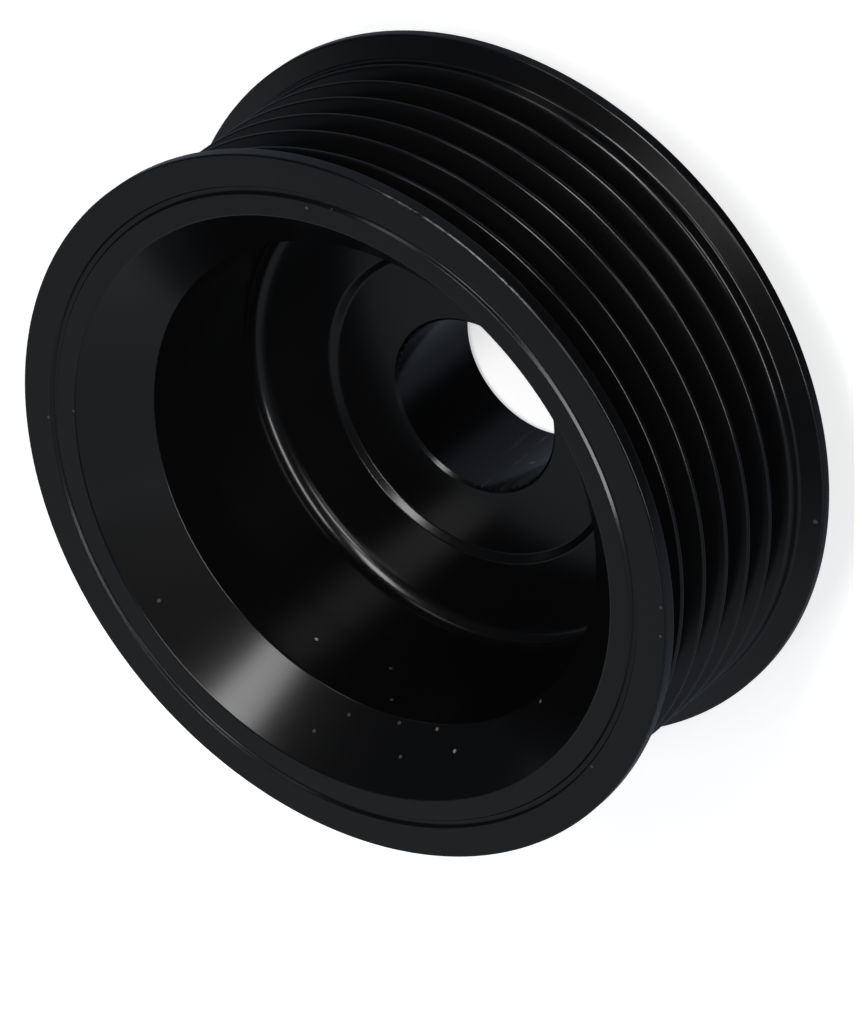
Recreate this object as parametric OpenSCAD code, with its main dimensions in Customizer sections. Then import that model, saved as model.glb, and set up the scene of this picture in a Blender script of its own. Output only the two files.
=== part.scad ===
// Ribbed belt pulley: one turned piece with a deep cup at the front, a plain
// bored hub and a multi-rib groove set between two flanges.
// The axis is Z. The rear end of the hub stands on z = 0 and the cup opens upwards.

/* [Belt grooves] */
// Number of belt grooves
groove_count = 6; // [3:1:8]
// Distance from one groove to the next
groove_pitch = 3.56; // [2.6:0.02:4.7]
// Angle between the two flanks of a groove
groove_angle = 40; // [36:1:44]
// Diameter over the crests between the grooves
crest_d = 66; // [60:0.5:110]
// Radius of the rounded tip of a crest
crest_tip_r = 0.28; // [0.2:0.02:0.4]
// Radius of the rounded root of a groove
groove_root_r = 0.4; // [0.3:0.02:0.5]

/* [Flanges] */
// Height of the front flange above the crests
front_flange_h = 1.7; // [0.6:0.1:4]
// Width of the land around the front flange
front_land_w = 1.35; // [0.6:0.05:4]
// Height of the rear flange above the crests
rear_flange_h = 2.15; // [0.6:0.05:4]
// Width of the land around the rear flange
rear_land_w = 1.05; // [0.6:0.05:4]
// Width of the shelf between the last crest and the rear flange
shelf_w = 0.9; // [0.6:0.05:3]
// Radius of the rounded edge between that shelf and the last groove
shelf_edge_r = 0.5; // [0.3:0.05:0.5]
// Fillet between that shelf and the rear flange
shelf_fillet = 0.4; // [0.1:0.05:0.5]
// Bevel on the outer edges of both flanges
edge_break = 0.1; // [0.05:0.05:0.25]

/* [Cup] */
// Width of the flat front face, from the flange's edge to the mouth of the cup
face_w = 5.8; // [4.5:0.1:9]
// Depth of the conical mouth of the cup
mouth_depth = 5.3; // [2:0.1:9]
// Metal between the groove roots and the wall of the cup
rim_wall = 5.5; // [3:0.1:9]
// Fillet between the wall and the floor of the cup
floor_fillet = 1.6; // [0.4:0.1:3]
// Metal between the floor of the cup and the rear face
web_t = 4.95; // [3:0.05:8]
// Distance of the turned line on the front face from the flange's edge
face_line_inset = 3.4; // [1:0.1:4.8]
// Width of that turned line, which has a round bottom
face_line_w = 0.6; // [0.3:0.05:0.9]
// Depth of that turned line
face_line_depth = 0.35; // [0.15:0.05:0.6]

/* [Hub] */
// Diameter of the shaft bore
bore_d = 17; // [10:0.1:22]
// Chamfer at the front end of the bore
bore_chamfer = 0.3; // [0.2:0.1:1]
// Chamfer at the rear end of the bore
bore_rear_chamfer = 0.5; // [0.2:0.1:1]
// Diameter of the nut seat sunk into the floor of the cup, halfway up its step
seat_d = 30.7; // [26:0.1:42]
// Depth of the nut seat
seat_depth = 0.55; // [0.3:0.05:2]
// Radius at the top and the foot of that step, at least half its depth
seat_step_r = 0.45; // [0.2:0.05:1]
// Diameter of the hub behind the rear face
hub_d = 30; // [27:0.5:50]
// Length of the hub behind the rear face
hub_projection = 7.5; // [3:0.5:20]
// Chamfer around the rear end of the hub
hub_chamfer = 0.8; // [0.3:0.1:1.2]
// Fillet between the hub and the rear face
hub_fillet = 1; // [0.3:0.1:1.5]

/* [Hidden] */
$fn = 96;
// Facets of the small rounded forms in the section
round_fn = 32;
// Overlap that keeps a cut from ending on a face
spare = 0.5;

flank_a = groove_angle / 2;
crest_r = crest_d / 2;
front_flange_r = crest_r + front_flange_h;
rear_flange_r = crest_r + rear_flange_h;
// Radii at which a groove's straight flanks meet the next groove's, and each other
sharp_crest_r = crest_r + crest_tip_r * (1 / sin(flank_a) - 1);
sharp_root_r = sharp_crest_r - groove_pitch / 2 / tan(flank_a);
// Centres of the rounded tip and root, and the radii where they touch the flanks
tip_centre_r = crest_r - crest_tip_r;
tip_touch_r = tip_centre_r + crest_tip_r * sin(flank_a);
root_centre_r = sharp_root_r + groove_root_r / sin(flank_a);
root_touch_r = root_centre_r - groove_root_r * sin(flank_a);
groove_bottom_r = root_centre_r - groove_root_r;

// Half the width of a groove at radius r
function half_width(r) = (r - sharp_root_r) * tan(flank_a);

// Heights, from the rear end of the hub upwards
rear_z = hub_projection;
rear_land_z = rear_z + rear_land_w;
shelf_z = rear_land_z + rear_flange_h * tan(flank_a);
last_crest_z = shelf_z + shelf_w;
last_groove_z = last_crest_z + groove_pitch / 2;
first_groove_z = last_groove_z + (groove_count - 1) * groove_pitch;
front_z = first_groove_z + half_width(front_flange_r) + front_land_w;

// Centre of the shelf's rounded edge, and the radius where it touches the last groove
shelf_edge_centre_r = crest_r - shelf_edge_r;
shelf_edge_z = last_groove_z - half_width(shelf_edge_centre_r) - shelf_edge_r / cos(flank_a);
shelf_edge_touch_r = shelf_edge_centre_r + shelf_edge_r * sin(flank_a);

cup_r = groove_bottom_r - rim_wall;
mouth_r = front_flange_r - face_w;
floor_z = rear_z + web_t;
seat_z = floor_z - seat_depth;
// The seat's step is two arcs that meet halfway up, each turning by the same angle
seat_round_r = max(seat_step_r, seat_depth / 2);
seat_turn = acos(1 - seat_depth / 2 / seat_round_r);
seat_foot_r = seat_d / 2 - seat_round_r * sin(seat_turn);
seat_top_r = seat_d / 2 + seat_round_r * sin(seat_turn);
face_line_centre_r = front_flange_r - face_line_inset;
face_line_r = face_line_w / 2;
bore_r = bore_d / 2;
hub_r = hub_d / 2;

// Section of the uncut rim: front flange, body and rear flange
module rim_blank() {
    polygon([
        [0, rear_z],
        [rear_flange_r - edge_break, rear_z],
        [rear_flange_r, rear_z + edge_break],
        [rear_flange_r, rear_land_z - edge_break],
        [rear_flange_r - edge_break, rear_land_z + edge_break * tan(flank_a)],
        [crest_r, shelf_z],
        [crest_r, shelf_edge_z],
        [shelf_edge_touch_r, shelf_edge_z],
        [shelf_edge_touch_r, last_groove_z],
        [tip_touch_r, last_groove_z],
        [tip_touch_r, first_groove_z],
        [front_flange_r, first_groove_z],
        [front_flange_r, front_z - edge_break],
        [front_flange_r - edge_break, front_z],
        [0, front_z]
    ]);
}

// Section of one groove, with its middle on the local z = 0. Its flanks run on
// outwards, and the first groove's front one makes the face of the front flange
module groove_section() {
    outer_r = front_flange_r + spare;
    translate([root_centre_r, 0])
        circle(r = groove_root_r, $fn = round_fn);
    polygon([
        [root_touch_r, half_width(root_touch_r)],
        [outer_r, half_width(outer_r)],
        [outer_r, -half_width(outer_r)],
        [root_touch_r, -half_width(root_touch_r)]
    ]);
}

// Section of the fillet in the corner between the shelf and the rear flange
module shelf_fillet_section() {
    centre = [crest_r + shelf_fillet, shelf_z + shelf_fillet * tan(45 - flank_a / 2)];
    touch = centre - shelf_fillet * [sin(flank_a), cos(flank_a)];
    difference() {
        polygon([
            [crest_r - shelf_fillet, centre.y],
            [crest_r - shelf_fillet, shelf_z - shelf_fillet],
            [touch.x, touch.y - shelf_fillet],
            touch,
            [crest_r, centre.y]
        ]);
        translate(centre)
            circle(r = shelf_fillet, $fn = round_fn);
    }
}

// Section of the rim with its grooves and rounded crests
module rim_section() {
    difference() {
        rim_blank();
        for (i = [0 : groove_count - 1])
            translate([0, first_groove_z - i * groove_pitch])
                groove_section();
    }
    for (i = [1 : groove_count - 1])
        translate([tip_centre_r, last_crest_z + i * groove_pitch])
            circle(r = crest_tip_r, $fn = round_fn);
    translate([shelf_edge_centre_r, shelf_edge_z])
        circle(r = shelf_edge_r, $fn = round_fn);
    shelf_fillet_section();
}

// Section of the hub behind the rear face
module hub_section() {
    polygon([
        [0, 0],
        [hub_r - hub_chamfer, 0],
        [hub_r, hub_chamfer],
        [hub_r, rear_z + spare],
        [0, rear_z + spare]
    ]);
    difference() {
        translate([0, rear_z - hub_fillet])
            square([hub_r + hub_fillet, hub_fillet + spare]);
        translate([hub_r + hub_fillet, rear_z - hub_fillet])
            circle(r = hub_fillet, $fn = round_fn);
    }
}

// Section of the cup: conical mouth, wall, filleted corner and floor
module cup_section() {
    corner_z = floor_z + floor_fillet;
    polygon([
        [0, floor_z],
        [cup_r - floor_fillet, floor_z],
        [cup_r - floor_fillet, corner_z],
        [cup_r, corner_z],
        [cup_r, front_z - mouth_depth],
        [mouth_r, front_z],
        [mouth_r, front_z + spare],
        [0, front_z + spare]
    ]);
    translate([cup_r - floor_fillet, corner_z])
        circle(r = floor_fillet, $fn = round_fn);
}

// Section of the nut seat in the floor of the cup, with a step rounded at top and foot
module seat_section() {
    translate([0, seat_z])
        square([seat_foot_r, seat_depth + spare]);
    translate([seat_foot_r, seat_z + seat_round_r])
        circle(r = seat_round_r, $fn = round_fn);
    difference() {
        translate([0, seat_z + seat_depth / 2])
            square([seat_top_r, seat_depth / 2 + spare]);
        translate([seat_top_r, floor_z - seat_round_r])
            circle(r = seat_round_r, $fn = round_fn);
    }
}

// Section of the fine line turned into the front face
module face_line_section() {
    bottom_z = front_z - face_line_depth + face_line_r;
    translate([face_line_centre_r, bottom_z])
        circle(r = face_line_r, $fn = round_fn);
    translate([face_line_centre_r - face_line_r, bottom_z])
        square([face_line_w, face_line_depth + spare]);
}

// Section of the bore, chamfered at the rear end and at the nut seat
module bore_section() {
    polygon([
        [0, -spare],
        [bore_r + bore_rear_chamfer + spare, -spare],
        [bore_r, bore_rear_chamfer],
        [bore_r, seat_z - bore_chamfer],
        [bore_r + bore_chamfer + spare, seat_z + spare],
        [0, seat_z + spare]
    ]);
}

// The whole pulley, in black electro-coated steel
module pulley() {
    color("#1c1d1f")
        rotate_extrude()
            difference() {
                union() {
                    rim_section();
                    hub_section();
                }
                cup_section();
                seat_section();
                face_line_section();
                bore_section();
            }
}

pulley();
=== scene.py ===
"""Looks of a ribbed belt pulley: one piece, turned from steel and coated black.

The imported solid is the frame. One revolved piece with eased edges stands for it,
dressed in a satin black electro-coat, on a pale floor in a soft studio.
The pulley's sizes are in millimetres from the rear end of the hub, which stands on z = 0.
The studio's sizes are in metres.
"""

import logging
import math
from dataclasses import dataclass, field
from enum import Enum
from typing import Any

import bmesh
import bpy
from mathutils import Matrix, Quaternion, Vector


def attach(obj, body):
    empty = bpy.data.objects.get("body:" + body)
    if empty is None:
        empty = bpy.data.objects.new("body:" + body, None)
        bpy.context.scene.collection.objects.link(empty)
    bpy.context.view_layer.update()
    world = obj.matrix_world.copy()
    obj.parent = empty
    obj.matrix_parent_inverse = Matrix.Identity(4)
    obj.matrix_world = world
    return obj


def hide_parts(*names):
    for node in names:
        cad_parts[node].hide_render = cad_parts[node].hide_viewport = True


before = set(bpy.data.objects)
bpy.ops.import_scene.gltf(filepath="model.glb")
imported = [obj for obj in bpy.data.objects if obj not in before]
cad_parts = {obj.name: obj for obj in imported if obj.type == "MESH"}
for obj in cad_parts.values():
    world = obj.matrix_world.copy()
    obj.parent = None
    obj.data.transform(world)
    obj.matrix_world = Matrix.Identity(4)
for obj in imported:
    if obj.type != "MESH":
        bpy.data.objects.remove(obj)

LOG = logging.getLogger("pulley")
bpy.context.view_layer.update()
MM = 0.001
NODE = "pulley"
BODY = "root"
IMAGE_SIZE_PX = (855, 1024)
# Points of the turned section closer than this are one, in metres
MERGE_GAP = 1e-7
WHITE = "#ffffff"
# Settings of a soft step from one value to another
SMOOTH = {"interpolation_type": "SMOOTHSTEP"}


class Turn(Enum):
    """Way round an arc of the section, seen with the radius to the right and Z up."""

    LEFT = 1
    RIGHT = -1


class Ray(Enum):
    """Kinds of ray that the pale background answers by itself."""

    CAMERA = "Is Camera Ray"
    GLOSSY = "Is Glossy Ray"
    TRANSMISSION = "Is Transmission Ray"


def linear(hex_colour: str) -> tuple[float, float, float, float]:
    """Turn an sRGB hex colour into linear RGBA.

    Args:
        hex_colour: Colour such as "#1c1d1f".

    Returns:
        Linear red, green, blue and an alpha of 1.
    """
    parts = [int(hex_colour[i:i + 2], 16) / 255 for i in (1, 3, 5)]
    red, green, blue = (
        c / 12.92 if c <= 0.04045 else ((c + 0.055) / 1.055) ** 2.4 for c in parts
    )
    return red, green, blue, 1.0


def add_node(
    tree: bpy.types.NodeTree,
    kind: str,
    settings: dict[str, Any] | None = None,
    inputs: dict[int | str, Any] | None = None,
) -> bpy.types.Node:
    """Add one node with its settings, and set or link its inputs.

    Args:
        tree: Node tree that takes the node.
        kind: Blender's name for the node type.
        settings: Attributes of the node.
        inputs: Values, or output sockets to link, by input name or number.

    Returns:
        The new node.
    """
    node = tree.nodes.new(kind)
    for name, value in (settings or {}).items():
        setattr(node, name, value)
    for name, value in (inputs or {}).items():
        if isinstance(value, bpy.types.NodeSocket):
            tree.links.new(value, node.inputs[name])
        else:
            node.inputs[name].default_value = value
    return node


def seen_directly(tree: bpy.types.NodeTree) -> bpy.types.NodeSocket:
    """Tell the rays that show the background to the eye from all others.

    Args:
        tree: Tree of a material or of the world.

    Returns:
        1 for a ray from the camera, also through glass, and 0 for any other.
    """
    rays = add_node(tree, "ShaderNodeLightPath").outputs
    return add_node(
        tree,
        "ShaderNodeMath",
        {"operation": "ADD", "use_clamp": True},
        {0: rays[Ray.CAMERA.value], 1: rays[Ray.TRANSMISSION.value]},
    ).outputs[0]


def direction(azimuth_deg: float, elevation_deg: float) -> Vector:
    """Give the unit vector towards a place in the studio.

    Args:
        azimuth_deg: Angle from the camera's side towards +X.
        elevation_deg: Angle above the floor.

    Returns:
        Unit vector from the object.
    """
    azimuth, elevation = math.radians(azimuth_deg), math.radians(elevation_deg)
    flat = math.cos(elevation)
    return Vector((flat * math.sin(azimuth), -flat * math.cos(azimuth), math.sin(elevation)))


def around_axis(bearing_deg: float) -> Vector:
    """Give the unit vector out from the pulley's axis at a bearing from +X towards +Y."""
    bearing = math.radians(bearing_deg)
    return Vector((math.cos(bearing), math.sin(bearing), 0.0))


class SectionPen:
    """Draws the half section with mesh operators and turns it into a solid of revolution."""

    def __init__(self, radius: float, height: float) -> None:
        """Start the section at a radius and height."""
        self.mesh = bmesh.new()
        self.first = self.mesh.verts.new((radius * MM, 0.0, height * MM))
        self.last = self.first
        self.corners: list[tuple[bmesh.types.BMVert, float]] = []

    def line(self, radius: float, height: float, ease: float = 0.0) -> None:
        """Draw a straight line from the last point.

        Args:
            radius: Radius of the line's end.
            height: Height of the line's end.
            ease: Length that a rounding takes from both sides of the end, if any.
        """
        made = bmesh.ops.extrude_vert_indiv(self.mesh, verts=[self.last])
        end = made["verts"][0]
        target = Vector((radius * MM, 0.0, height * MM))
        bmesh.ops.translate(self.mesh, verts=[end], vec=target - end.co)
        if ease:
            self.corners.append((end, ease))
        self.last = end

    def arc(self, radius: float, height: float, sweep_deg: float, turn: Turn, steps: int) -> None:
        """Spin the last point about a centre.

        Args:
            radius: Radius at which the arc's centre lies.
            height: Height at which the arc's centre lies.
            sweep_deg: Angle that the arc covers.
            turn: Way round.
            steps: Number of straight pieces.
        """
        made = bmesh.ops.spin(
            self.mesh,
            geom=[self.last],
            cent=(radius * MM, 0.0, height * MM),
            axis=(0.0, -float(turn.value), 0.0),
            angle=math.radians(sweep_deg),
            steps=steps,
            use_merge=False,
        )
        self.last = next(g for g in made["geom_last"] if isinstance(g, bmesh.types.BMVert))

    def close(self, segments: int) -> None:
        """Join the last point to the first and round the eased corners.

        Args:
            segments: Number of straight pieces in a rounded corner.
        """
        self.mesh.edges.new((self.last, self.first))
        for corner, reach in self.corners:
            bmesh.ops.bevel(
                self.mesh,
                geom=[corner],
                offset=reach * MM,
                offset_type="OFFSET",
                segments=segments,
                profile=0.5,
                affect="VERTICES",
                clamp_overlap=True,
                material=-1,
            )

    def turn(self, name: str, steps: int, crisp_deg: float) -> bpy.types.Object:
        """Turn the closed section about Z into an object.

        Args:
            name: Name of the object.
            steps: Facets round the axis.
            crisp_deg: Edges that bend more than this stay crisp.

        Returns:
            The new object, linked to the scene.
        """
        bmesh.ops.spin(
            self.mesh,
            geom=self.mesh.verts[:] + self.mesh.edges[:],
            cent=(0.0, 0.0, 0.0),
            axis=(0.0, 0.0, 1.0),
            angle=math.tau,
            steps=steps,
            use_merge=True,
        )
        bmesh.ops.remove_doubles(self.mesh, verts=self.mesh.verts[:], dist=MERGE_GAP)
        bmesh.ops.recalc_face_normals(self.mesh, faces=self.mesh.faces[:])
        data = bpy.data.meshes.new(name)
        self.mesh.to_mesh(data)
        self.mesh.free()
        data.shade_smooth()
        data.set_sharp_from_angle(angle=math.radians(crisp_deg))
        made = bpy.data.objects.new(name, data)
        bpy.context.scene.collection.objects.link(made)
        # Broad faces keep their own normals, and the narrow roundings take the bend.
        weighted = made.modifiers.new("weighted_normals", "WEIGHTED_NORMAL")
        weighted.keep_sharp = True
        return made


@dataclass
class BeltGrooves:
    """V-grooves with rounded roots and crests, from the rear shelf to the front flange."""

    count: int = 6
    pitch: float = 3.56
    flank_deg: float = 20.0
    crest_radius: float = 33.0
    tip_radius: float = 0.28
    root_radius: float = 0.4
    tip_steps: int = 10
    root_steps: int = 6

    def __post_init__(self) -> None:
        """Work out where the flanks, tips and roots meet."""
        sine = math.sin(math.radians(self.flank_deg))
        self.slope = math.tan(math.radians(self.flank_deg))
        sharp_crest = self.crest_radius + self.tip_radius * (1 / sine - 1)
        self.sharp_root = sharp_crest - self.pitch / 2 / self.slope
        self.tip_centre = self.crest_radius - self.tip_radius
        self.tip_touch = self.tip_centre + self.tip_radius * sine
        self.root_centre = self.sharp_root + self.root_radius / sine
        self.root_touch = self.root_centre - self.root_radius * sine
        self.bottom = self.root_centre - self.root_radius

    def half_width(self, radius: float) -> float:
        """Give half the width of a groove at a radius."""
        return (radius - self.sharp_root) * self.slope

    def draw(self, pen: SectionPen, last_groove: float) -> float:
        """Draw every groove and the crests between them, going up from the shelf.

        Args:
            pen: Pen that stands where the shelf's rounded edge ends.
            last_groove: Height of the middle of the rearmost groove.

        Returns:
            Height of the middle of the front groove.
        """
        sweep = 2 * (90.0 - self.flank_deg)
        pen.line(self.root_touch, last_groove - self.half_width(self.root_touch))
        pen.arc(self.root_centre, last_groove, sweep, Turn.RIGHT, self.root_steps)
        groove = last_groove
        for _ in range(1, self.count):
            pen.line(self.tip_touch, groove + self.half_width(self.tip_touch))
            pen.arc(self.tip_centre, groove + self.pitch / 2, sweep, Turn.LEFT, self.tip_steps)
            groove += self.pitch
            pen.line(self.root_touch, groove - self.half_width(self.root_touch))
            pen.arc(self.root_centre, groove, sweep, Turn.RIGHT, self.root_steps)
        return groove


@dataclass
class Flanges:
    """Two flanges that keep the belt on, with a narrow shelf before the rear one."""

    front_height: float = 1.7
    front_land: float = 1.35
    rear_height: float = 2.15
    rear_land: float = 1.05
    shelf: float = 0.9
    shelf_edge: float = 0.5
    shelf_fillet: float = 0.4
    edge_ease: float = 0.2
    fillet_steps: int = 8

    def draw_rear(self, pen: SectionPen, belt: BeltGrooves, rear_face: float) -> float:
        """Draw the rear flange and the shelf between it and the grooves.

        Args:
            pen: Pen that stands on the rear face.
            belt: Grooves that follow the shelf.
            rear_face: Height of the rear face.

        Returns:
            Height of the middle of the rearmost groove.
        """
        tilt = math.radians(belt.flank_deg)
        flange = belt.crest_radius + self.rear_height
        land_top = rear_face + self.rear_land
        shelf_z = land_top + self.rear_height * belt.slope
        pen.line(flange, rear_face, self.edge_ease)
        pen.line(flange, land_top, self.edge_ease)
        fillet_r = belt.crest_radius + self.shelf_fillet
        fillet_z = shelf_z + self.shelf_fillet * math.tan(math.radians(45) - tilt / 2)
        pen.line(
            fillet_r - self.shelf_fillet * math.sin(tilt),
            fillet_z - self.shelf_fillet * math.cos(tilt),
        )
        pen.arc(fillet_r, fillet_z, 90.0 - belt.flank_deg, Turn.RIGHT, self.fillet_steps)
        groove = shelf_z + self.shelf + belt.pitch / 2
        edge_r = belt.crest_radius - self.shelf_edge
        edge_z = groove - belt.half_width(edge_r) - self.shelf_edge / math.cos(tilt)
        pen.line(belt.crest_radius, edge_z)
        pen.arc(edge_r, edge_z, 90.0 - belt.flank_deg, Turn.LEFT, self.fillet_steps)
        return groove

    def front_radius(self, belt: BeltGrooves) -> float:
        """Give the radius of the front flange."""
        return belt.crest_radius + self.front_height

    def draw_front(self, pen: SectionPen, belt: BeltGrooves, groove: float) -> float:
        """Draw the front flange, whose face is the front groove's flank.

        Args:
            pen: Pen that stands at the root of the front groove.
            belt: Grooves that end at the flange.
            groove: Height of the middle of the front groove.

        Returns:
            Height of the front face.
        """
        flange = self.front_radius(belt)
        flank_top = groove + belt.half_width(flange)
        front = flank_top + self.front_land
        pen.line(flange, flank_top, self.edge_ease)
        pen.line(flange, front, self.edge_ease)
        return front


@dataclass
class Cup:
    """Front face with its turned line, conical mouth, wall, filleted corner and floor."""

    face_width: float = 5.8
    mouth_depth: float = 5.3
    mouth_ease: float = 0.12
    rim_wall: float = 5.5
    floor_fillet: float = 1.6
    web: float = 4.95
    line_inset: float = 3.4
    line_width: float = 0.82
    line_floor: float = 0.41
    line_depth: float = 0.3
    line_ease: float = 0.04
    line_foot_ease: float = 0.06
    fillet_steps: int = 12

    def draw(
        self, pen: SectionPen, flange: float, front: float, groove_bottom: float, floor: float
    ) -> None:
        """Draw the face with its line, and the cup down to its floor.

        Args:
            pen: Pen that stands at the front flange's outer edge.
            flange: Radius of the front flange.
            front: Height of the front face.
            groove_bottom: Radius at the bottom of the grooves.
            floor: Height of the cup's floor.
        """
        line_r, line_z = flange - self.line_inset, front - self.line_depth
        edge, foot = self.line_width / 2, self.line_floor / 2
        pen.line(line_r + edge, front, self.line_ease)
        pen.line(line_r + foot, line_z, self.line_foot_ease)
        pen.line(line_r - foot, line_z, self.line_foot_ease)
        pen.line(line_r - edge, front, self.line_ease)
        pen.line(flange - self.face_width, front, self.mouth_ease)
        wall = groove_bottom - self.rim_wall
        corner = floor + self.floor_fillet
        pen.line(wall, front - self.mouth_depth, self.mouth_ease)
        pen.line(wall, corner)
        pen.arc(wall - self.floor_fillet, corner, 90.0, Turn.RIGHT, self.fillet_steps)


@dataclass
class Hub:
    """Bored hub with a nut seat in the cup and a boss behind the rear face."""

    bore_radius: float = 8.5
    bore_chamfer: float = 0.3
    bore_rear_chamfer: float = 0.5
    seat_radius: float = 15.35
    seat_depth: float = 0.55
    seat_slope_deg: float = 40.0
    seat_ease: float = 0.14
    radius: float = 15.0
    projection: float = 7.5
    chamfer: float = 0.8
    fillet: float = 1.0
    fillet_steps: int = 8

    def draw_boss(self) -> SectionPen:
        """Draw the boss, from the rear end of the bore to the fillet at the rear face.

        Returns:
            Pen that stands on the rear face.
        """
        pen = SectionPen(self.bore_radius + self.bore_rear_chamfer, 0.0)
        corner = self.projection - self.fillet
        pen.line(self.radius - self.chamfer, 0.0)
        pen.line(self.radius, self.chamfer)
        pen.line(self.radius, corner)
        pen.arc(self.radius + self.fillet, corner, 90.0, Turn.RIGHT, self.fillet_steps)
        return pen

    def draw_bore(self, pen: SectionPen, floor: float) -> None:
        """Draw the nut seat and the chamfered bore down to the rear end.

        Args:
            pen: Pen that stands on the cup's floor.
            floor: Height of that floor.
        """
        seat = floor - self.seat_depth
        reach = self.seat_depth / 2 / math.tan(math.radians(self.seat_slope_deg))
        pen.line(self.seat_radius + reach, floor, self.seat_ease)
        pen.line(self.seat_radius - reach, seat, self.seat_ease)
        pen.line(self.bore_radius + self.bore_chamfer, seat)
        pen.line(self.bore_radius, seat - self.bore_chamfer)
        pen.line(self.bore_radius, self.bore_rear_chamfer)


@dataclass(frozen=True)
class Spot:
    """Sockets that say where a shaded point lies on the pulley, in millimetres."""

    place: bpy.types.NodeSocket
    outwards: bpy.types.NodeSocket
    radius: bpy.types.NodeSocket
    height: bpy.types.NodeSocket

    @classmethod
    def read(cls, tree: bpy.types.NodeTree) -> "Spot":
        """Add the nodes that work the place out.

        Args:
            tree: Tree of the material.

        Returns:
            The place, the unit vector out from the axis, the radius and the height.
        """
        place = add_node(tree, "ShaderNodeTexCoord").outputs["Object"]
        place = add_node(
            tree, "ShaderNodeVectorMath", {"operation": "SCALE"}, {0: place, "Scale": 1 / MM}
        ).outputs[0]
        flat = add_node(
            tree, "ShaderNodeVectorMath", {"operation": "MULTIPLY"}, {0: place, 1: (1, 1, 0)}
        ).outputs[0]
        outwards = add_node(tree, "ShaderNodeVectorMath", {"operation": "NORMALIZE"}, {0: flat})
        radius = add_node(tree, "ShaderNodeVectorMath", {"operation": "LENGTH"}, {0: flat})
        height = add_node(tree, "ShaderNodeSeparateXYZ", inputs={0: place})
        return cls(
            place, outwards.outputs[0], radius.outputs["Value"], height.outputs["Z"]
        )


@dataclass(frozen=True)
class Speck:
    """One grain of dust or small nick in the coat, placed about the axis."""

    radius_mm: float
    bearing_deg: float
    height_mm: float
    size_mm: float
    strength: float
    core: float = 0.4

    def draw(self, tree: bpy.types.NodeTree, spot: Spot) -> bpy.types.NodeSocket:
        """Draw the speck, full in its core and faded out at its size.

        Args:
            tree: Tree of the material.
            spot: Place on the pulley.

        Returns:
            How far the coat shows pale, from 0 to 1.
        """
        middle = around_axis(self.bearing_deg) * self.radius_mm
        middle.z = self.height_mm
        away = add_node(
            tree, "ShaderNodeVectorMath", {"operation": "DISTANCE"}, {0: spot.place, 1: middle}
        ).outputs["Value"]
        return add_node(
            tree,
            "ShaderNodeMapRange",
            SMOOTH,
            {
                "Value": away, "From Min": self.core * self.size_mm, "From Max": self.size_mm,
                "To Min": self.strength, "To Max": 0.0,
            },
        ).outputs[0]


@dataclass(frozen=True)
class RubbedEdgeAndPaintedHighlight:
    """Stretch of the front flange's edge where the coat is rubbed through to the steel, drawn pale
    only where the key lamp's highlight falls, so it is partly a painted highlight.
    """

    bearing_deg: float = -71.0
    # Cosines of the angle from its middle at which it begins and is full
    stretch: tuple[float, float] = (0.958, 0.985)
    radius_mm: tuple[float, float] = (34.5, 34.65)
    height_mm: tuple[float, float] = (33.2, 33.3)
    grain_mm: float = 0.8
    # Noise values at which a grain begins and is full
    grain: tuple[float, float] = (0.35, 0.6)
    strength: float = 0.3

    def draw(self, tree: bpy.types.NodeTree, spot: Spot) -> bpy.types.NodeSocket:
        """Draw the rubbed stretch, partly a painted highlight, in grains.

        Args:
            tree: Tree of the material.
            spot: Place on the pulley.

        Returns:
            How far the coat shows pale, from 0 to 1.
        """
        # Only the stretch that faces the key lamp turns pale: wear and a painted highlight.
        near = add_node(
            tree,
            "ShaderNodeVectorMath",
            {"operation": "DOT_PRODUCT"},
            {0: spot.outwards, 1: around_axis(self.bearing_deg)},
        ).outputs["Value"]
        grains = add_node(
            tree,
            "ShaderNodeTexNoise",
            {"noise_dimensions": "3D"},
            {"Vector": spot.place, "Scale": 1 / self.grain_mm, "Detail": 3.0},
        ).outputs["Fac"]
        wear_and_painted_light: bpy.types.NodeSocket | float = self.strength
        for value, (low, high) in (
            (near, self.stretch),
            (spot.radius, self.radius_mm),
            (spot.height, self.height_mm),
            (grains, self.grain),
        ):
            share = add_node(
                tree,
                "ShaderNodeMapRange",
                SMOOTH,
                {"Value": value, "From Min": low, "From Max": high},
            ).outputs[0]
            wear_and_painted_light = add_node(
                tree, "ShaderNodeMath", {"operation": "MULTIPLY"}, {0: wear_and_painted_light, 1: share}
            ).outputs[0]
        return wear_and_painted_light


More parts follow.
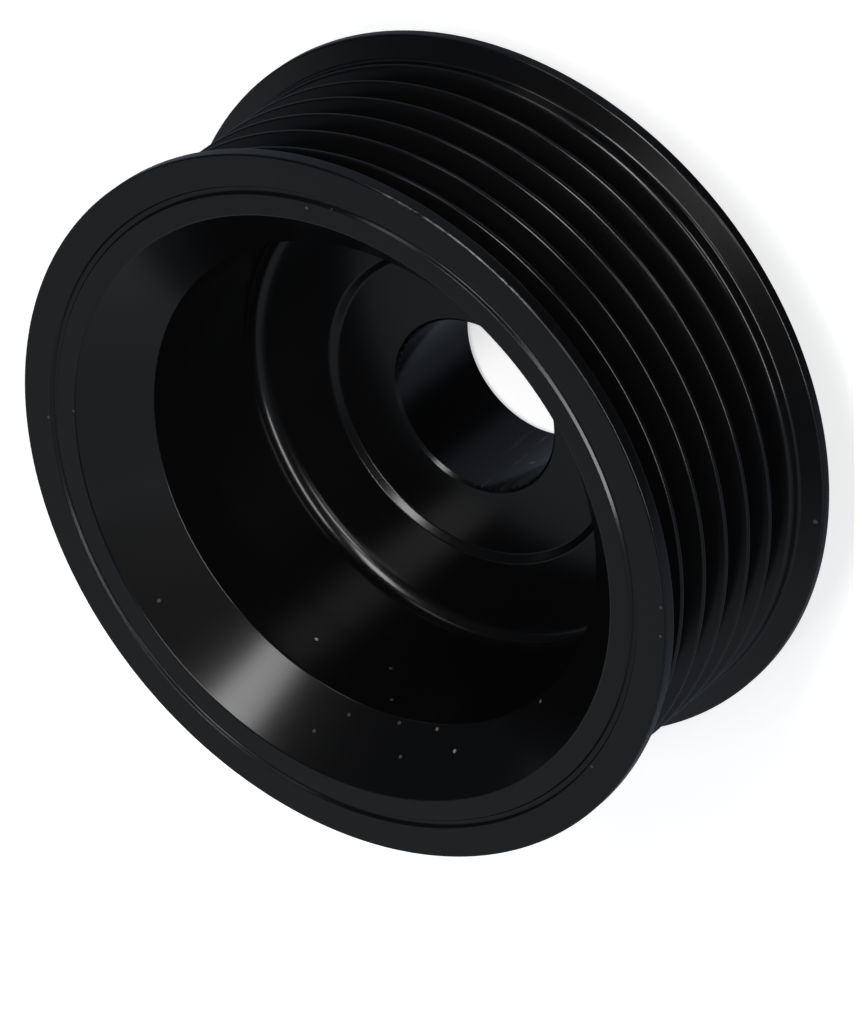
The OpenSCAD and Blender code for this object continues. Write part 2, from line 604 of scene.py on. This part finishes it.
@dataclass(frozen=True)
class BoreScratchesAndPaintedReflection:
    """Fine scratch lines that a shaft left along the bore, with one side kept clean; the pale lines
    on the other sides are also a painted reflection.
    """

    width_mm: float = 0.3
    length_mm: float = 6.0
    within_mm: float = 8.6
    # Noise values at which a scratch begins and is full
    lines: tuple[float, float] = (0.55, 0.75)
    clean_bearing_deg: float = 82.0
    # Distances from the axis towards the clean side at which the scratch lines, and with them the
    # painted reflection, begin to fade and end
    clean_from_mm: tuple[float, float] = (5.16, 6.88)
    strength: float = 0.08

    def draw(self, tree: bpy.types.NodeTree, spot: Spot) -> bpy.types.NodeSocket:
        """Draw the scratch lines as a noise stretched along the axis, which also paints a
        reflection on the bore's sides.

        Args:
            tree: Tree of the material.
            spot: Place on the pulley.

        Returns:
            How far the coat shows pale, from 0 to 1.
        """
        across, along = 1 / self.width_mm, 1 / self.length_mm
        stretched = add_node(
            tree,
            "ShaderNodeMapping",
            inputs={"Vector": spot.place, "Scale": (across, across, along)},
        ).outputs[0]
        noise = add_node(
            tree,
            "ShaderNodeTexNoise",
            {"noise_dimensions": "3D"},
            {"Vector": stretched, "Scale": 1.0, "Detail": 1.0},
        ).outputs["Fac"]
        low, high = self.lines
        pale = add_node(
            tree,
            "ShaderNodeMapRange",
            SMOOTH,
            {"Value": noise, "From Min": low, "From Max": high, "To Max": self.strength},
        ).outputs[0]
        # The clean side stays dark and the rest turns pale: scratch lines and a painted reflection.
        towards_clean = add_node(
            tree,
            "ShaderNodeVectorMath",
            {"operation": "DOT_PRODUCT"},
            {0: spot.place, 1: around_axis(self.clean_bearing_deg)},
        ).outputs["Value"]
        low, high = self.clean_from_mm
        scratch_and_painted_reflection_share = add_node(
            tree,
            "ShaderNodeMapRange",
            SMOOTH,
            {
                "Value": towards_clean, "From Min": low, "From Max": high,
                "To Min": 1.0, "To Max": 0.0,
            },
        ).outputs[0]
        inside = add_node(
            tree,
            "ShaderNodeMath",
            {"operation": "LESS_THAN"},
            {0: spot.radius, 1: self.within_mm},
        ).outputs[0]
        for share in (scratch_and_painted_reflection_share, inside):
            pale = add_node(
                tree, "ShaderNodeMath", {"operation": "MULTIPLY"}, {0: pale, 1: share}
            ).outputs[0]
        return pale


@dataclass(frozen=True)
class ElectroCoat:
    """Black electro-coat, dipped and baked over turned steel.

    The eye gets a near-black satin film that mirrors the studio softly, with the rings of
    the lathe showing through it, pale dust, a rubbed flange edge that is partly a painted
    highlight, and a scratched bore whose pale sides are partly a painted reflection.
    """

    name: str = "black_electro_coat_on_turned_steel"
    coat: str = "#09090a"
    ior: float = 1.42
    roughness: float = 0.2
    # The lathe's real feed of about 0.15 mm is too fine to show, so it is drawn coarser.
    ring_width_mm: float = 0.35
    ring_depth_mm: float = 0.0008
    # Pale of dust and bare steel, also used for the painted highlight and painted reflection
    pale: str = "#b9b9b4"
    # Rubbed flange edge, partly a painted highlight
    rubbed_edge_and_painted_highlight: RubbedEdgeAndPaintedHighlight = RubbedEdgeAndPaintedHighlight()
    # Scratched bore whose pale sides are partly a painted reflection
    scratches_and_painted_reflection: BoreScratchesAndPaintedReflection = BoreScratchesAndPaintedReflection()
    specks: tuple[Speck, ...] = (
        Speck(32.0, 44.0, 33.36, 0.2, 0.1),
        Speck(29.1, 41.0, 33.36, 0.18, 0.08),
        Speck(30.35, -43.0, 33.36, 0.2, 0.12),
        Speck(31.0, -48.0, 33.36, 0.18, 0.1),
        Speck(34.2, -134.0, 33.36, 0.18, 0.12),
        Speck(34.1, -139.0, 33.36, 0.18, 0.12),
        Speck(31.9, -170.0, 33.36, 0.18, 0.1),
        Speck(23.9, 109.0, 24.0, 0.24, 0.6),
        Speck(23.9, 126.0, 22.0, 0.24, 0.1),
        Speck(23.9, 133.0, 26.0, 0.24, 0.12),
        Speck(24.3, 139.0, 28.45, 0.24, 0.1),
        Speck(26.35, 142.0, 30.65, 0.24, 0.12),
        Speck(24.9, 127.0, 29.1, 0.24, 0.08),
        Speck(26.8, 122.0, 31.1, 0.24, 0.1),
        Speck(25.7, 155.0, 29.95, 0.24, 0.5),
        Speck(24.3, 149.0, 28.45, 0.22, 0.3),
        Speck(24.35, -179.0, 28.5, 0.22, 0.3),
        Speck(27.65, 82.0, 32.0, 0.24, 0.12),
        Speck(34.5, -141.0, 8.8, 0.3, 0.08),
        Speck(8.5, 149.0, 6.2, 0.4, 0.15),
    )

    def _rings(self, tree: bpy.types.NodeTree, spot: Spot) -> bpy.types.NodeSocket:
        """Draw the rings that the lathe left.

        Args:
            tree: Tree of the material.
            spot: Place on the pulley.

        Returns:
            The surface normal with the rings in it.
        """
        travel = add_node(
            tree, "ShaderNodeMath", {"operation": "ADD"}, {0: spot.radius, 1: spot.height}
        ).outputs[0]
        across = add_node(
            tree, "ShaderNodeMath", {"operation": "DIVIDE"}, {0: travel, 1: self.ring_width_mm}
        ).outputs[0]
        lift = add_node(tree, "ShaderNodeCombineXYZ", inputs={"Z": across}).outputs[0]
        ring_place = add_node(
            tree, "ShaderNodeVectorMath", {"operation": "ADD"}, {0: spot.outwards, 1: lift}
        ).outputs[0]
        rings = add_node(
            tree,
            "ShaderNodeTexNoise",
            {"noise_dimensions": "3D"},
            {"Vector": ring_place, "Scale": 1.0, "Detail": 2.0, "Roughness": 0.6},
        ).outputs["Fac"]
        return add_node(
            tree,
            "ShaderNodeBump",
            inputs={"Height": rings, "Strength": 1.0, "Distance": self.ring_depth_mm * MM},
        ).outputs["Normal"]

    def make(self) -> bpy.types.Material:
        """Build the node material.

        Returns:
            The new material.
        """
        made = bpy.data.materials.new(self.name)
        made.use_nodes = True
        tree = made.node_tree
        tree.nodes.clear()
        spot = Spot.read(tree)
        wear_and_painted_light: bpy.types.NodeSocket | float = 0.0
        for wear in (*self.specks, self.rubbed_edge_and_painted_highlight, self.scratches_and_painted_reflection):
            wear_and_painted_light = add_node(
                tree,
                "ShaderNodeMath",
                {"operation": "MAXIMUM"},
                {0: wear_and_painted_light, 1: wear.draw(tree, spot)},
            ).outputs[0]
        # The coat turns pale with dust and wear, and with the painted highlight and painted
        # reflection.
        colour = add_node(
            tree,
            "ShaderNodeMix",
            {"data_type": "RGBA"},
            {"Factor": wear_and_painted_light, 6: linear(self.coat), 7: linear(self.pale)},
        ).outputs[2]
        shader = add_node(
            tree,
            "ShaderNodeBsdfPrincipled",
            inputs={
                "Base Color": colour,
                "Roughness": self.roughness,
                "IOR": self.ior,
                "Normal": self._rings(tree, spot),
            },
        )
        add_node(
            tree, "ShaderNodeOutputMaterial", inputs={"Surface": shader.outputs["BSDF"]}
        )
        return made


@dataclass
class Pulley:
    """The whole pulley: one turned section, revolved and coated."""

    grooves: BeltGrooves = field(default_factory=BeltGrooves)
    flanges: Flanges = field(default_factory=Flanges)
    cup: Cup = field(default_factory=Cup)
    hub: Hub = field(default_factory=Hub)
    finish: ElectroCoat = field(default_factory=ElectroCoat)
    name: str = "pulley_coated"
    facets: int = 256
    crisp_deg: float = 32.0
    ease_segments: int = 4

    def build(self) -> bpy.types.Object:
        """Draw the section from the rear to the front and back, turn it and set it in the frame.

        Returns:
            The finished piece.
        """
        belt, floor = self.grooves, self.hub.projection + self.cup.web
        pen = self.hub.draw_boss()
        groove = self.flanges.draw_rear(pen, belt, self.hub.projection)
        groove = belt.draw(pen, groove)
        front = self.flanges.draw_front(pen, belt, groove)
        self.cup.draw(pen, self.flanges.front_radius(belt), front, belt.bottom, floor)
        self.hub.draw_bore(pen, floor)
        pen.close(self.ease_segments)
        piece = pen.turn(self.name, self.facets, self.crisp_deg)
        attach(piece, BODY)
        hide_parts(NODE)
        return piece

    def dress(self, piece: bpy.types.Object) -> None:
        """Give the piece its coat."""
        piece.data.materials.append(self.finish.make())


@dataclass(frozen=True)
class PaleFloor:
    """Matt white laminate board: a plain pale ground that keeps a soft shadow.

    The eye gets white around the object. The coat mirrors the surround's ground instead.
    """

    name: str = "matt_white_laminate"
    colour: str = "#e8e8e8"
    roughness: float = 0.9
    white: float = 0.6

    def make(self) -> bpy.types.Material:
        """Build the floor's material.

        Returns:
            The new material.
        """
        made = bpy.data.materials.new(self.name)
        made.use_nodes = True
        tree = made.node_tree
        tree.nodes.clear()
        strength = add_node(
            tree,
            "ShaderNodeMath",
            {"operation": "MULTIPLY"},
            {0: seen_directly(tree), 1: self.white},
        ).outputs[0]
        board = add_node(
            tree,
            "ShaderNodeBsdfPrincipled",
            inputs={
                "Base Color": linear(self.colour),
                "Roughness": self.roughness,
                "Specular IOR Level": 0.0,
                "Emission Color": linear(WHITE),
                "Emission Strength": strength,
            },
        )
        clear = add_node(tree, "ShaderNodeBsdfTransparent")
        mirrored = add_node(tree, "ShaderNodeLightPath").outputs[Ray.GLOSSY.value]
        mixed = add_node(
            tree,
            "ShaderNodeMixShader",
            inputs={0: mirrored, 1: board.outputs["BSDF"], 2: clear.outputs["BSDF"]},
        )
        add_node(
            tree, "ShaderNodeOutputMaterial", inputs={"Surface": mixed.outputs["Shader"]}
        )
        return made


@dataclass(frozen=True)
class Softbox:
    """One soft lamp that faces the object."""

    name: str
    azimuth_deg: float
    elevation_deg: float
    width: float
    height: float
    level: float
    distance: float = 1.2

    def build(self) -> bpy.types.Object:
        """Hang the lamp.

        Returns:
            The lamp's object.
        """
        data = bpy.data.lights.new(self.name, "AREA")
        data.shape = "RECTANGLE"
        data.size, data.size_y = self.width, self.height
        # This power makes the lamp's face as bright as its level, where 1 is white.
        data.energy = self.level * math.pi * self.width * self.height
        lamp = bpy.data.objects.new(self.name, data)
        towards = direction(self.azimuth_deg, self.elevation_deg)
        lamp.location = towards * self.distance
        lamp.rotation_euler = towards.to_track_quat("Z", "Y").to_euler()
        bpy.context.scene.collection.objects.link(lamp)
        return lamp


@dataclass(frozen=True)
class PhotoCamera:
    """Camera at the photograph's viewing angle, rolled as the photograph is."""

    location_mm: tuple[float, float, float] = (-4.919, -483.341, 486.823)
    aim_mm: tuple[float, float, float] = (-4.919, 8.429, 16.586)
    roll_deg: float = -128.141
    focal_px: float = 7500.0
    sensor_mm: float = 36.0

    def build(self) -> bpy.types.Object:
        """Set up the camera and make it the scene's own.

        Returns:
            The camera's object.
        """
        data = bpy.data.cameras.new("photo_camera")
        data.sensor_width = self.sensor_mm
        data.lens = self.focal_px * self.sensor_mm / max(IMAGE_SIZE_PX)
        camera = bpy.data.objects.new("photo_camera", data)
        location, aim = Vector(self.location_mm) * MM, Vector(self.aim_mm) * MM
        level = (aim - location).to_track_quat("-Z", "Y")
        roll = Quaternion((0.0, 0.0, 1.0), math.radians(self.roll_deg))
        camera.location = location
        camera.rotation_euler = (level @ roll).to_euler()
        bpy.context.scene.collection.objects.link(camera)
        bpy.context.scene.camera = camera
        return camera


@dataclass(frozen=True)
class SideGlow:
    """Part of the surround whose light changes from one side of the studio to the other."""

    colour: str
    azimuth_deg: float
    # Cosines of the angle from that side at which the change begins and is full
    change: tuple[float, float]
    away: float
    towards: float

    def level(
        self, tree: bpy.types.NodeTree, flat: bpy.types.NodeSocket
    ) -> bpy.types.NodeSocket:
        """Work out the light in a level direction.

        Args:
            tree: Tree of the world.
            flat: Unit vector of the direction, level with the floor.

        Returns:
            The strength of the light.
        """
        facing = add_node(
            tree,
            "ShaderNodeVectorMath",
            {"operation": "DOT_PRODUCT"},
            {0: flat, 1: direction(self.azimuth_deg, 0.0)},
        ).outputs["Value"]
        low, high = self.change
        return add_node(
            tree,
            "ShaderNodeMapRange",
            SMOOTH,
            {
                "Value": facing, "From Min": low, "From Max": high,
                "To Min": self.away, "To Max": self.towards,
            },
        ).outputs[0]


@dataclass
class Studio:
    """Pale floor, soft lamps and a plain surround."""

    floor: PaleFloor = field(default_factory=PaleFloor)
    floor_size: float = 8.0
    wall: SideGlow = SideGlow(
        colour="#e9f4ff", azimuth_deg=-137.0, change=(-0.08, 0.2), away=0.05, towards=0.37
    )
    # The ground is dim towards the camera, which shades it there.
    ground: SideGlow = SideGlow(
        colour="#dceaff", azimuth_deg=-15.0, change=(0.5, 0.92), away=0.2, towards=0.02
    )
    ceiling: float = 0.05
    # Sines of the elevation at which the wall begins to pass into the ceiling and has done so
    ceiling_change: tuple[float, float] = (0.7, 0.9)
    lamps: tuple[Softbox, ...] = (
        Softbox("key_softbox", 34.5, 54.0, 0.27, 0.5, 13.0),
        Softbox("top_softbox", 12.0, 80.0, 0.3, 0.2, 11.0),
        Softbox("strip_softbox", -24.0, 28.5, 1.05, 0.18, 12.0),
        Softbox("side_softbox", 55.0, 17.0, 0.3, 0.5, 2.3),
    )

    def build(self) -> None:
        """Lay the floor, hang the lamps and set the surround."""
        self._lay_floor()
        for lamp in self.lamps:
            lamp.build()
            LOG.info("lamp %s", lamp.name)
        self._set_world()
        bpy.context.scene.view_settings.view_transform = "Standard"

    def _lay_floor(self) -> None:
        """Make the floor as a square grid."""
        mesh = bmesh.new()
        bmesh.ops.create_grid(mesh, x_segments=1, y_segments=1, size=self.floor_size / 2)
        data = bpy.data.meshes.new("floor")
        mesh.to_mesh(data)
        mesh.free()
        data.materials.append(self.floor.make())
        floor = bpy.data.objects.new("floor", data)
        bpy.context.scene.collection.objects.link(floor)

    def _set_world(self) -> None:
        """Surround the coat with a wall, a dark ceiling and a ground, and the camera with white."""
        world = bpy.data.worlds.new("studio_surround")
        world.use_nodes = True
        tree = world.node_tree
        tree.nodes.clear()
        towards = add_node(tree, "ShaderNodeTexCoord").outputs["Generated"]
        height = add_node(tree, "ShaderNodeSeparateXYZ", inputs={0: towards}).outputs["Z"]
        flat = add_node(
            tree, "ShaderNodeVectorMath", {"operation": "MULTIPLY"}, {0: towards, 1: (1, 1, 0)}
        ).outputs[0]
        flat = add_node(
            tree, "ShaderNodeVectorMath", {"operation": "NORMALIZE"}, {0: flat}
        ).outputs[0]
        low, high = self.ceiling_change
        above = add_node(
            tree,
            "ShaderNodeMapRange",
            SMOOTH,
            {
                "Value": height, "From Min": low, "From Max": high,
                "To Min": self.wall.level(tree, flat), "To Max": self.ceiling,
            },
        ).outputs[0]
        below_horizon = add_node(
            tree, "ShaderNodeMath", {"operation": "LESS_THAN"}, {0: height, 1: 0.0}
        ).outputs[0]
        shown = add_node(
            tree,
            "ShaderNodeBackground",
            inputs={"Color": linear(self.wall.colour), "Strength": above},
        ).outputs["Background"]
        # Each layer covers what lies under it where its share is 1.
        for share, colour, strength in (
            (below_horizon, self.ground.colour, self.ground.level(tree, flat)),
            (seen_directly(tree), WHITE, 1.0),
        ):
            layer = add_node(
                tree,
                "ShaderNodeBackground",
                inputs={"Color": linear(colour), "Strength": strength},
            ).outputs["Background"]
            shown = add_node(
                tree, "ShaderNodeMixShader", inputs={0: share, 1: shown, 2: layer}
            ).outputs["Shader"]
        add_node(tree, "ShaderNodeOutputWorld", inputs={"Surface": shown})
        bpy.context.scene.world = world


def main() -> None:
    """Build the camera, the pulley and the studio in order."""
    logging.basicConfig(level=logging.INFO, format="%(name)s: %(message)s")
    PhotoCamera().build()
    pulley = Pulley()
    piece = pulley.build()
    pulley.dress(piece)
    LOG.info("%s: %d faces", piece.name, len(piece.data.polygons))
    Studio().build()


if __name__ == "__main__":
    main()
